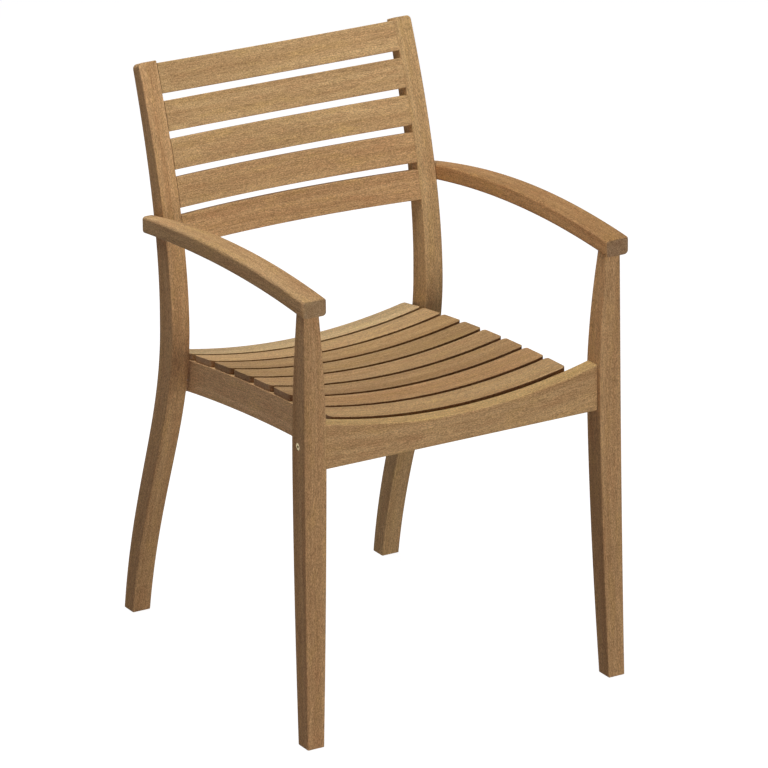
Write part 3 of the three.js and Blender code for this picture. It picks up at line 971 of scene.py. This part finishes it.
    def rear_rail(self) -> Object:
        """Rear rail below the last slat.

        Returns:
            The object.
        """
        lines, rail = self.lines, self.sizes.rail
        reach = lines.side_rail_inner - self.sizes.gap
        lowest = lines.seat_underside(self.sizes.post.reach, lines.rear_rail_back)
        return self._cross_rail(
            "rear_rail", stations(-reach, reach, self.HIDDEN_STEPS),
            (lines.rear_rail_front, lines.rear_rail_back), lowest - rail.rear_height,
            lines.ledge, rail.ease,
        )

    def side_rail(self, side: Side) -> Object:
        """Side rail, its top following the underside of the slats.

        In front of the post its outer face stands inside its lap, and the edge of the lap
        leans with the post.

        Args:
            side: Side of the chair.

        Returns:
            The object.
        """
        lines, rail, ease = self.lines, self.sizes.rail, self.sizes.end_ease
        end = lines.rear_rail_back
        seat_z = lines.seat_underside(lines.side_rail_outer, self.sizes.seat.depth)
        lap = lines.post_front(seat_z) + rail.lap_start
        lean = lines.post_front(seat_z - rail.side_height) - lines.post_front(seat_z)
        eases = (rail.ledge_ease, rail.side_ease, rail.side_ease, rail.side_ease)
        start = lines.front_rail_back + self.sizes.gap
        even = stations(start, end, self.SIDE_RAIL_STEPS, (0.0, ease))
        sections = []
        for y in sorted([*even, lap, lap + rail.lap_step]):
            outer = lines.side_rail_outer - (rail.side_inset if y <= lap else 0.0)
            leaning = max(0.0, min((y - lap) / rail.lap_run + 1.0, (end - y) / (end - lap), 1.0))
            low_y = y + lean * leaning
            bottom = lines.seat_underside(outer, low_y) - rail.side_height
            corners = around(
                lambda x, is_top: Vector(
                    (side.value * x, y, lines.ledge(x, y)) if is_top
                    else (side.value * x, low_y, bottom)
                ),
                (outer, lines.side_rail_inner), (True, False),
            )
            sections.append(Section(corners, eases, eased(ease, end - y)))
        return self._make(f"side_rail_{side.word}", sections)

    def bearer(self) -> Object:
        """Bearer below the middle of the slats.

        Returns:
            The object.
        """
        lines, rail, gap = self.lines, self.sizes.rail, self.sizes.gap
        half = rail.bearer_width / 2
        start, end = lines.front_rail_back + gap, lines.rear_rail_front - gap
        sections = []
        for y in stations(start, end, self.HIDDEN_STEPS):
            top = lines.ledge(0.0, y)
            sections.append(Section(around(
                lambda x, z: Vector((x, y, z)), (half, -half), (top, top - rail.bearer_height),
            ), rail.ease))
        return self._make("seat_bearer", sections)

    def seat_slat(self, number: int) -> Object:
        """Seat slat, counted from the rear, dished across the chair.

        Args:
            number: Its number, from zero.

        Returns:
            The object.
        """
        lines, seat, reach = self.lines, self.sizes.seat, self.lines.slat_reach
        front = lines.front_rail_back + seat.front_gap
        pitch = (seat.depth + seat.rear_reach + seat.spacing - front) / seat.count
        width = pitch - seat.spacing
        centre = front + pitch * (seat.count - number) - seat.spacing - width / 2
        level, slope = lines.seat_line(centre), lines.seat_slope(centre)
        ends = (seat.corner, seat.corner)
        sections = []
        for x in stations(-reach, reach, self.SLAT_STEPS, ends, self.SEAT_FACETS):
            from_end = reach - abs(x)
            half = width / 2 - eased(seat.corner, from_end)
            lip, dish = eased(seat.ease, from_end), lines.dish_at(x)
            sections.append(Section(around(
                lambda out, drop: Vector((x, centre + out, level + slope * out - dish - drop)),
                (-half, half), (lip, seat.thickness - lip),
            ), seat.ease))
        return self._make(f"seat_slat_{number + 1}", sections)

    def back_slat(self, number: int) -> Object:
        """Back slat, counted from the top, bowed rearward.

        Args:
            number: Its number, from zero.

        Returns:
            The object.
        """
        lines, back, gap = self.lines, self.sizes.back, self.sizes.gap
        half = back.height / 2
        below = back.drop + half + number * (back.height + back.spacing)
        point, along, rearward = lines.back_place(below)
        sections = []
        for share in stations(-1.0, 1.0, self.SLAT_STEPS):
            bow = back.bow * (1.0 - share ** 2)
            profile = around(
                lambda up, behind: point + along * up + rearward * (back.setback + bow + behind),
                (half, -half), (0.0, back.thickness),
            )
            corners = [Vector((share * (lines.post_inner(p.y) - gap), p.x, p.y)) for p in profile]
            sections.append(Section(corners, back.ease))
        return self._make(f"back_slat_{number + 1}", sections)


# Shader graphs

Value = Union["Socket", float]
Triple = tuple[float, float, float]
Colour = tuple[float, float, float, float]

BLACK: Colour = (0.0, 0.0, 0.0, 1.0)
WHITE: Colour = (1.0, 1.0, 1.0, 1.0)
UP: Triple = (0.0, 0.0, 1.0)


@dataclass(frozen=True)
class Noise:
    """A noise: cycles per metre along each axis, detail and roughness."""

    stretch: Triple
    detail: float = 2.0
    roughness: float = 0.5


@dataclass(frozen=True)
class Socket:
    """An output socket of a graph, which does arithmetic by adding Math nodes."""

    graph: "Graph"
    output: bpy.types.NodeSocket

    def __add__(self, other: Value) -> "Socket":
        """The sum."""
        return self.graph.math("ADD", self, other)

    def __mul__(self, other: Value) -> "Socket":
        """The product."""
        return self.graph.math("MULTIPLY", self, other)

    def clamped(self) -> "Socket":
        """The same value held between zero and one."""
        made = self + 0.0
        made.output.node.use_clamp = True
        return made


class Graph:
    """A node tree, written as expressions."""

    def __init__(self, tree: bpy.types.NodeTree) -> None:
        """Empties a node tree.

        Args:
            tree: The tree of a material or a world.
        """
        self.tree = tree
        tree.nodes.clear()

    def add(
        self, kind: str, inputs: dict[Union[str, int], Any], key: Union[str, int] = 0,
        **settings: str,
    ) -> Optional[Socket]:
        """Adds a node: first its settings, then its inputs.

        Args:
            kind: Blender's node type.
            inputs: Values or sockets by input name or index.
            key: Name or index of the output that is wanted.
            **settings: Properties of the node.

        Returns:
            The output, or none if the node has no outputs.
        """
        made = self.tree.nodes.new(kind)
        for name, value in settings.items():
            setattr(made, name, value)
        for name, value in inputs.items():
            if isinstance(value, Socket):
                self.tree.links.new(value.output, made.inputs[name])
            else:
                made.inputs[name].default_value = value
        return Socket(self, made.outputs[key]) if made.outputs else None

    def math(self, operation: str, *values: Value) -> Socket:
        """Adds a Math node."""
        return self.add("ShaderNodeMath", dict(enumerate(values)), operation=operation)

    def vector(self, operation: str, *values: Any, key: str = "Vector") -> Socket:
        """Adds a Vector Math node and gives the output that is named."""
        inputs = dict(enumerate(values))
        return self.add("ShaderNodeVectorMath", inputs, key, operation=operation)

    def scaled(self, colour: Socket, factor: Value) -> Socket:
        """Multiplies a colour by a number."""
        inputs = {0: colour, "Scale": factor}
        return self.add("ShaderNodeVectorMath", inputs, operation="SCALE")

    def mix(self, factor: Value, first: Any, second: Any) -> Socket:
        """Mixes two colours."""
        inputs = {"Factor": factor, "A": first, "B": second}
        return self.add("ShaderNodeMix", inputs, "Result", data_type="RGBA")

    def ramp(self, value: Socket, low: float, high: float, *held: float) -> Socket:
        """Maps a value between two limits to zero and one, or to two values that are given."""
        at_low, at_high = held or (0.0, 1.0)
        inputs = {0: value, 1: low, 2: high, 3: at_low, 4: at_high}
        return self.add("ShaderNodeMapRange", inputs)

    def attribute(self, name: str) -> Socket:
        """Reads a vector that the meshes store on their points."""
        return self.add("ShaderNodeAttribute", {}, "Vector", attribute_name=name)

    def object_place(self) -> Socket:
        """Place on the object, in metres."""
        return self.add("ShaderNodeTexCoord", {}, "Object")

    def noise(self, place: Socket, noise: Noise, key: Union[str, int] = 0) -> Socket:
        """Adds a noise between zero and one, or three of them for the output Color.

        Args:
            place: Where it is read.
            noise: The noise.
            key: Name of the output.

        Returns:
            The output.
        """
        inputs = {
            "Vector": self.vector("MULTIPLY", place, noise.stretch), "Scale": 1.0,
            "Detail": noise.detail, "Roughness": noise.roughness,
        }
        return self.add("ShaderNodeTexNoise", inputs, key, noise_dimensions="3D")

    def bump(self, strength: float, distance: float, height: Socket) -> Socket:
        """Turns a height into a normal."""
        inputs = {"Strength": strength, "Distance": distance, "Height": height}
        return self.add("ShaderNodeBump", inputs)

    def seen(self) -> Socket:
        """One on rays from the camera, from mirrors and through glass, and zero on others."""
        camera, glossy, through = (
            self.add("ShaderNodeLightPath", {}, f"Is {kind} Ray")
            for kind in ("Camera", "Glossy", "Transmission")
        )
        return (camera + glossy + through).clamped()


class Finish:
    """A look that becomes a Blender material."""

    def build(self, name: str) -> bpy.types.Material:
        """Makes the material.

        Args:
            name: Name of the material.

        Returns:
            The material.
        """
        material = bpy.data.materials.new(name)
        material.use_nodes = True
        graph = Graph(material.node_tree)
        shader = graph.add("ShaderNodeBsdfPrincipled", self.surface(graph))
        graph.add("ShaderNodeOutputMaterial", {"Surface": shader})
        return material

    def surface(self, g: Graph) -> dict[str, Any]:
        """Adds the finish's nodes.

        Args:
            g: The material's graph.

        Returns:
            The shader's inputs by name.
        """
        raise NotImplementedError


@dataclass(frozen=True)
class Stain:
    """A colour that comes in as a noise goes from one value to another."""

    noise: Noise
    start: float
    full: float
    share: float
    colour: Colour


@dataclass(frozen=True)
class Shade:
    """A brightness that follows a noise between two values."""

    noise: Noise
    start: float
    end: float
    at_start: float
    at_end: float

    def laid(self, g: Graph, colour: Socket, place: Socket) -> Socket:
        """The colour with this brightness laid over it."""
        speckle = g.noise(place, self.noise)
        level = g.ramp(speckle, self.start, self.end, self.at_start, self.at_end)
        return g.scaled(colour, level)


@dataclass(frozen=True)
class WoodFinish(Finish):
    """Colours and figure of a sawn and oiled wood, with painted light or shade on its upright faces
    where set; the axes of its noises are the board's.
    """

    WANDER = Noise((2.6, 11.0, 11.0), 1.0)
    WANDER_REACH = (0.0, 0.012, 0.012)
    FIGURE = Noise((1.7, 75.0, 75.0), 3.0, 0.55)
    STREAKS = Noise((11.0, 330.0, 330.0), 3.0, 0.65)
    WARMTH = Noise((16.0, 62.0, 62.0), 3.0, 0.6)
    FIBRES = Noise((45.0, 1500.0, 1500.0), 2.0, 0.6)
    PORES = Noise((90.0, 1100.0, 1100.0), 1.0)
    CLOUDS = Shade(Noise((1.3, 4.0, 4.0), 1.0), 0.30, 0.70, 0.90, 1.10)
    RINGS = Shade(Noise((0.0, 900.0, 900.0), 2.0, 0.6), 0.35, 0.65, 0.88, 1.10)
    FIGURE_SPAN, PORE_SPAN = (0.34, 0.68), (0.58, 0.70)
    UPRIGHT_SPAN, END_SPAN = (0.85, 0.45), (0.55, 0.90)
    ROUGH_SPAN, ROUGH_SWING = (0.3, 0.8), (-0.05, 0.09)
    FIBRE_RISE, PORE_RISE, STREAK_RISE = 0.5, -0.8, 0.3

    light: Colour = (0.575, 0.372, 0.174, 1.0)
    middle: Colour = (0.450, 0.272, 0.120, 1.0)
    stains: tuple[Stain, ...] = (
        Stain(STREAKS, 0.44, 0.74, 0.42, (0.275, 0.148, 0.063, 1.0)),
        Stain(WARMTH, 0.52, 0.72, 0.36, (0.440, 0.222, 0.096, 1.0)),
        Stain(WARMTH, 0.48, 0.30, 0.40, (0.550, 0.350, 0.125, 1.0)),
        Stain(FIBRES, 0.35, 0.70, 0.30, (0.450, 0.272, 0.120, 1.0)),
    )
    shades: tuple[Shade, ...] = (
        Shade(Noise((70.0, 560.0, 560.0), 2.0, 0.65), 0.32, 0.68, 1.11, 0.89),
        Shade(Noise((380.0, 850.0, 850.0), 1.0), 0.30, 0.70, 1.34, 0.68),
    )
    pore: Colour = (0.150, 0.078, 0.036, 1.0)
    pore_amount: float = 0.40
    end_grain: Triple = (0.79, 0.84, 0.93)
    # Painted light and shade: shares of the colour on upright faces, darker where shade falls and
    # lighter where light falls.
    narrow_faces: Triple = (1.0, 1.0, 1.0)
    roughness: float = 0.66
    gloss: float = 0.05
    bump: float = 0.40
    bump_depth: float = 0.00025

    def surface(self, g: Graph) -> dict[str, Any]:
        """Lays stains, shades, pores and tones over the figure of the board, and paints light or
        shade on upright faces.

        Args:
            g: The material's graph.

        Returns:
            The shader's inputs by name.
        """
        grain = g.attribute(GRAIN)
        wander = g.noise(grain, self.WANDER, "Color")
        board = g.vector("ADD", grain, g.vector("MULTIPLY", wander, self.WANDER_REACH))
        streaks, warmth, fibres = (
            g.noise(board, noise) for noise in (self.STREAKS, self.WARMTH, self.FIBRES)
        )
        laid = {self.STREAKS: streaks, self.WARMTH: warmth, self.FIBRES: fibres}
        figure = g.ramp(g.noise(board, self.FIGURE), *self.FIGURE_SPAN)
        colour = g.mix(figure, self.light, self.middle)
        for stain in self.stains:
            strength = g.ramp(laid[stain.noise], stain.start, stain.full) * stain.share
            colour = g.mix(strength, colour, stain.colour)
        for shade in self.shades:
            colour = shade.laid(g, colour, board)
        pores = g.ramp(g.noise(board, self.PORES), *self.PORE_SPAN)
        colour = g.mix(pores * self.pore_amount, colour, self.pore)
        colour = self.CLOUDS.laid(g, colour, grain)
        colour = self._face_tones(g, g.vector("MULTIPLY", colour, g.attribute(TINT)), board)
        height = fibres * self.FIBRE_RISE + pores * self.PORE_RISE + streaks * self.STREAK_RISE
        levels = (self.roughness + swing for swing in self.ROUGH_SWING)
        return {
            "Base Color": colour,
            "Roughness": g.ramp(streaks, *self.ROUGH_SPAN, *levels),
            "Specular IOR Level": self.gloss,
            "Normal": g.bump(self.bump, self.bump_depth, height),
        }

    def _face_tones(self, g: Graph, colour: Socket, board: Socket) -> Socket:
        """Paints light or shade onto upright faces, and gives sawn ends their own tones.

        Args:
            g: The material's graph.
            colour: The wood's colour.
            board: Place in the board.

        Returns:
            The colour.
        """
        outward = g.add("ShaderNodeNewGeometry", {}, "Normal")
        level = g.math("ABSOLUTE", g.vector("DOT_PRODUCT", outward, UP, key="Value"))
        # Painted light and shade: upright faces take a darker or lighter share of the colour, as
        # light falls on them.
        upright = g.vector("MULTIPLY", colour, self.narrow_faces)
        colour = g.mix(g.ramp(level, *self.UPRIGHT_SPAN), colour, upright)
        fibre = g.attribute(FIBRE)
        endwise = g.math("ABSOLUTE", g.vector("DOT_PRODUCT", outward, fibre, key="Value"))
        sawn = self.RINGS.laid(g, g.vector("MULTIPLY", colour, self.end_grain), board)
        return g.mix(g.ramp(endwise, *self.END_SPAN), colour, sawn)


@dataclass(frozen=True)
class MetalFinish(Finish):
    """Colour and scratches of a small metal part."""

    DIRT = Noise((380.0, 380.0, 380.0), 4.0, 0.6)
    SCRATCHES = Noise((300.0, 2400.0, 2400.0))
    WORN_SPAN = (0.45, 0.70)
    ROUGH_SPAN, ROUGH_SWING = (0.3, 0.7), (-0.06, 0.12)

    base: Colour = (0.62, 0.60, 0.56, 1.0)
    worn: Colour = (0.45, 0.43, 0.40, 1.0)
    roughness: float = 0.32
    bump: float = 0.2
    bump_depth: float = 0.0001

    def surface(self, g: Graph) -> dict[str, Any]:
        """Wears the metal in patches and scratches it.

        Args:
            g: The material's graph.

        Returns:
            The shader's inputs by name.
        """
        place = g.object_place()
        dirt = g.noise(place, self.DIRT)
        levels = (self.roughness + swing for swing in self.ROUGH_SWING)
        return {
            "Base Color": g.mix(g.ramp(dirt, *self.WORN_SPAN), self.base, self.worn),
            "Metallic": 1.0,
            "Roughness": g.ramp(dirt, *self.ROUGH_SPAN, *levels),
            "Normal": g.bump(self.bump, self.bump_depth, g.noise(place, self.SCRATCHES)),
        }


@dataclass(frozen=True)
class DowelFinish(Finish):
    """Colours of a turned beech dowel."""

    FLECKS = Noise((1400.0, 1400.0, 160.0), 3.0)
    FLECK_SPAN = (0.4, 0.7)

    light: Colour = (0.62, 0.45, 0.28, 1.0)
    dark: Colour = (0.48, 0.31, 0.17, 1.0)
    roughness: float = 0.6
    bump: float = 0.3
    bump_depth: float = 0.0002

    def surface(self, g: Graph) -> dict[str, Any]:
        """Runs flecks along the dowel.

        Args:
            g: The material's graph.

        Returns:
            The shader's inputs by name.
        """
        flecks = g.noise(g.object_place(), self.FLECKS)
        return {
            "Base Color": g.mix(g.ramp(flecks, *self.FLECK_SPAN), self.light, self.dark),
            "Roughness": self.roughness,
            "Normal": g.bump(self.bump, self.bump_depth, flecks),
        }


@dataclass(frozen=True)
class WhiteGround(Finish):
    """White paper under the chair, a little brighter to the camera than it is lit."""

    colour: Colour = (0.30, 0.30, 0.30, 1.0)
    roughness: float = 0.9
    lift: float = 0.93

    def surface(self, g: Graph) -> dict[str, Any]:
        """Lifts the paper to white where it is seen, and lets it keep the chair's shadow.

        Args:
            g: The material's graph.

        Returns:
            The shader's inputs by name.
        """
        return {
            "Base Color": self.colour,
            "Roughness": self.roughness,
            "Specular IOR Level": 0.0,
            "Emission Color": g.mix(g.seen(), BLACK, WHITE),
            "Emission Strength": self.lift,
        }


# Studio


@dataclass(frozen=True)
class CameraPlace:
    """Where the camera stands: degrees, metres, a lens and a target in millimetres."""

    azimuth: float = -30.281
    elevation: float = 20.138
    roll: float = -0.598
    distance: float = 8.8642
    lens: float = 289.53
    sensor: float = 36.0
    nearest: float = 0.1
    farthest: float = 60.0
    target: Triple = (-6.13, 214.96, 432.89)

    def build(self, lines: ChairLines) -> None:
        """Makes the camera and hands it to the scene.

        Args:
            lines: The chair's shared lines, for the frame.
        """
        turns = (self.azimuth, "Z"), (90.0 - self.elevation, "X"), (self.roll, "Z")
        around_z, tilt, roll = (Matrix.Rotation(math.radians(v), 4, axis) for v, axis in turns)
        turn = around_z @ tilt @ roll
        place = lines.to_frame(Vector(self.target)) + turn.col[2].xyz * self.distance
        data = bpy.data.cameras.new("camera")
        data.lens, data.sensor_width, data.sensor_fit = self.lens, self.sensor, "HORIZONTAL"
        data.clip_start, data.clip_end = self.nearest, self.farthest
        obj = linked("camera", data)
        obj.matrix_world = Matrix.Translation(place) @ turn
        bpy.context.scene.camera = obj


@dataclass(frozen=True)
class SoftBox:
    """A square light that faces the middle of the chair."""

    name: str
    place: Triple
    size: float
    power: float
    colour: Triple = (1.0, 1.0, 1.0)
    aim: Triple = (0.0, 0.0, 0.4)

    def build(self) -> None:
        """Makes the light."""
        data = bpy.data.lights.new(self.name, "AREA")
        data.shape, data.size = "SQUARE", self.size
        data.energy, data.color = self.power, self.colour
        obj = linked(self.name, data)
        obj.location = self.place
        towards = Vector(self.aim) - Vector(self.place)
        obj.rotation_euler = towards.to_track_quat("-Z", "Y").to_euler()


class Studio:
    """White floor, white surroundings and soft lights."""

    LIGHTS = (
        SoftBox("over_left", (-0.9, 0.0, 2.0), 0.8, 5.2),
        SoftBox("over_middle", (0.0, 0.0, 2.0), 0.8, 11.7),
        SoftBox("over_rear", (0.0, 2.4, 2.0), 0.5, 19.5),
        SoftBox("low_front", (0.0, -4.0, 0.45), 0.8, 40.0),
        SoftBox("low_left", (-2.2, -3.4, 0.45), 0.8, 21.8, (1.03, 0.94, 1.06)),
        SoftBox("low_right", (2.2, -3.4, 0.45), 0.8, 12.0),
    )
    FILL = 0.15
    FILL_COLOUR: Colour = (1.05, 0.95, 1.15, 1.0)
    FLOOR_REACH = 30.0

    def build(self, lines: ChairLines) -> None:
        """Makes the camera, lights, floor and surroundings.

        Args:
            lines: The chair's shared lines, for the frame.
        """
        CameraPlace().build(lines)
        for light in self.LIGHTS:
            light.build()
        self._floor()
        self._surroundings()
        scene = bpy.context.scene
        scene.view_settings.view_transform = "Standard"
        scene.view_settings.look = "None"

    def _floor(self) -> None:
        """White paper that reaches past the picture's edges."""
        mesh = bpy.data.meshes.new("floor")
        reach = self.FLOOR_REACH
        corners = around(lambda x, y: (x, y, 0.0), (-reach, reach), (-reach, reach))
        mesh.from_pydata(corners, [], [(0, 1, 2, 3)])
        mesh.materials.append(WhiteGround().build("white_ground"))
        obj = linked("floor", mesh)

    def _surroundings(self) -> None:
        """White to the camera and in reflections, and a weak even light on everything else."""
        world = bpy.data.worlds.new("surroundings")
        world.use_nodes = True
        g = Graph(world.node_tree)
        seen = g.seen()
        light = {
            "Color": g.mix(seen, self.FILL_COLOUR, WHITE),
            "Strength": g.ramp(seen, 0.0, 1.0, self.FILL, 1.0),
        }
        g.add("ShaderNodeOutputWorld", {"Surface": g.add("ShaderNodeBackground", light)})
        bpy.context.scene.world = world


# The chair


@dataclass
class Chair:
    """The whole chair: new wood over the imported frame, kept metal and dowels."""

    lines: ChairLines

    WOODS = {
        # Painted shade: the seat slats' upright faces are darkened where the gaps between them are
        # shaded, and their end grain is lightened to take part of that shade back off their ends.
        "seat_slat": (
            "seat_teak",
            WoodFinish(end_grain=(1.37, 1.55, 1.90), narrow_faces=(0.54, 0.47, 0.44)),
        ),
        # Painted light: the front rail's upright faces are darkened, so that with its straw tone
        # its top reads lighter than its front, as light falls from above.
        "front_rail": ("rail_teak", WoodFinish(narrow_faces=(0.81, 0.755, 0.80))),
        # Painted light: the right arm's upright faces are lightened against its top, as light falls
        # on its inner side.
        "arm_right": (
            "arm_teak",
            WoodFinish(end_grain=(0.68, 0.75, 0.93), narrow_faces=(1.22, 1.24, 1.30)),
        ),
    }
    FITTINGS = {
        "brass": (
            ("leg_bolt_",), MetalFinish((0.56, 0.46, 0.26, 1.0), (0.16, 0.11, 0.06, 1.0)),
        ),
        "steel": (("post_screw_",), MetalFinish()),
        "dowel_wood": (("slat_dowel_", "arm_dowel_"), DowelFinish()),
    }

    def build(self) -> None:
        """Makes the wooden pieces and dresses the kept nodes."""
        teak = WoodFinish().build("teak")
        others = {word: finish.build(name) for word, (name, finish) in self.WOODS.items()}
        for obj in self._wood():
            picked = next((wood for word, wood in others.items() if word in obj.name), teak)
            obj.data.materials.clear()
            obj.data.materials.append(picked)
            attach(obj, "root")
            log.info("%s in %s", obj.name, picked.name)
        for name, (starts, finish) in self.FITTINGS.items():
            self._dress(starts, finish.build(name))

    def _wood(self) -> Iterator[Object]:
        """Makes the wooden pieces one after the other."""
        joiner = Joiner(self.lines)
        for side in Side:
            for make in (joiner.front_leg, joiner.rear_post, joiner.arm, joiner.side_rail):
                yield make(side)
        for make in (joiner.front_rail, joiner.rear_rail, joiner.bearer):
            yield make()
        yield from map(joiner.seat_slat, range(joiner.sizes.seat.count))
        yield from map(joiner.back_slat, range(joiner.sizes.back.count))

    def _dress(self, starts: tuple[str, ...], material: bpy.types.Material) -> None:
        """Gives a material to kept nodes.

        Args:
            starts: How the nodes' names start.
            material: The material.
        """
        for name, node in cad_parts.items():
            if name.startswith(starts):
                for slot in node.material_slots:
                    slot.material = material


def main() -> None:
    """Builds the scene."""
    lines = ChairLines(ChairSizes())
    Studio().build(lines)
    Chair(lines).build()


if __name__ == "__main__":
    logging.basicConfig(level=logging.INFO, format="%(name)s: %(message)s")
    main()
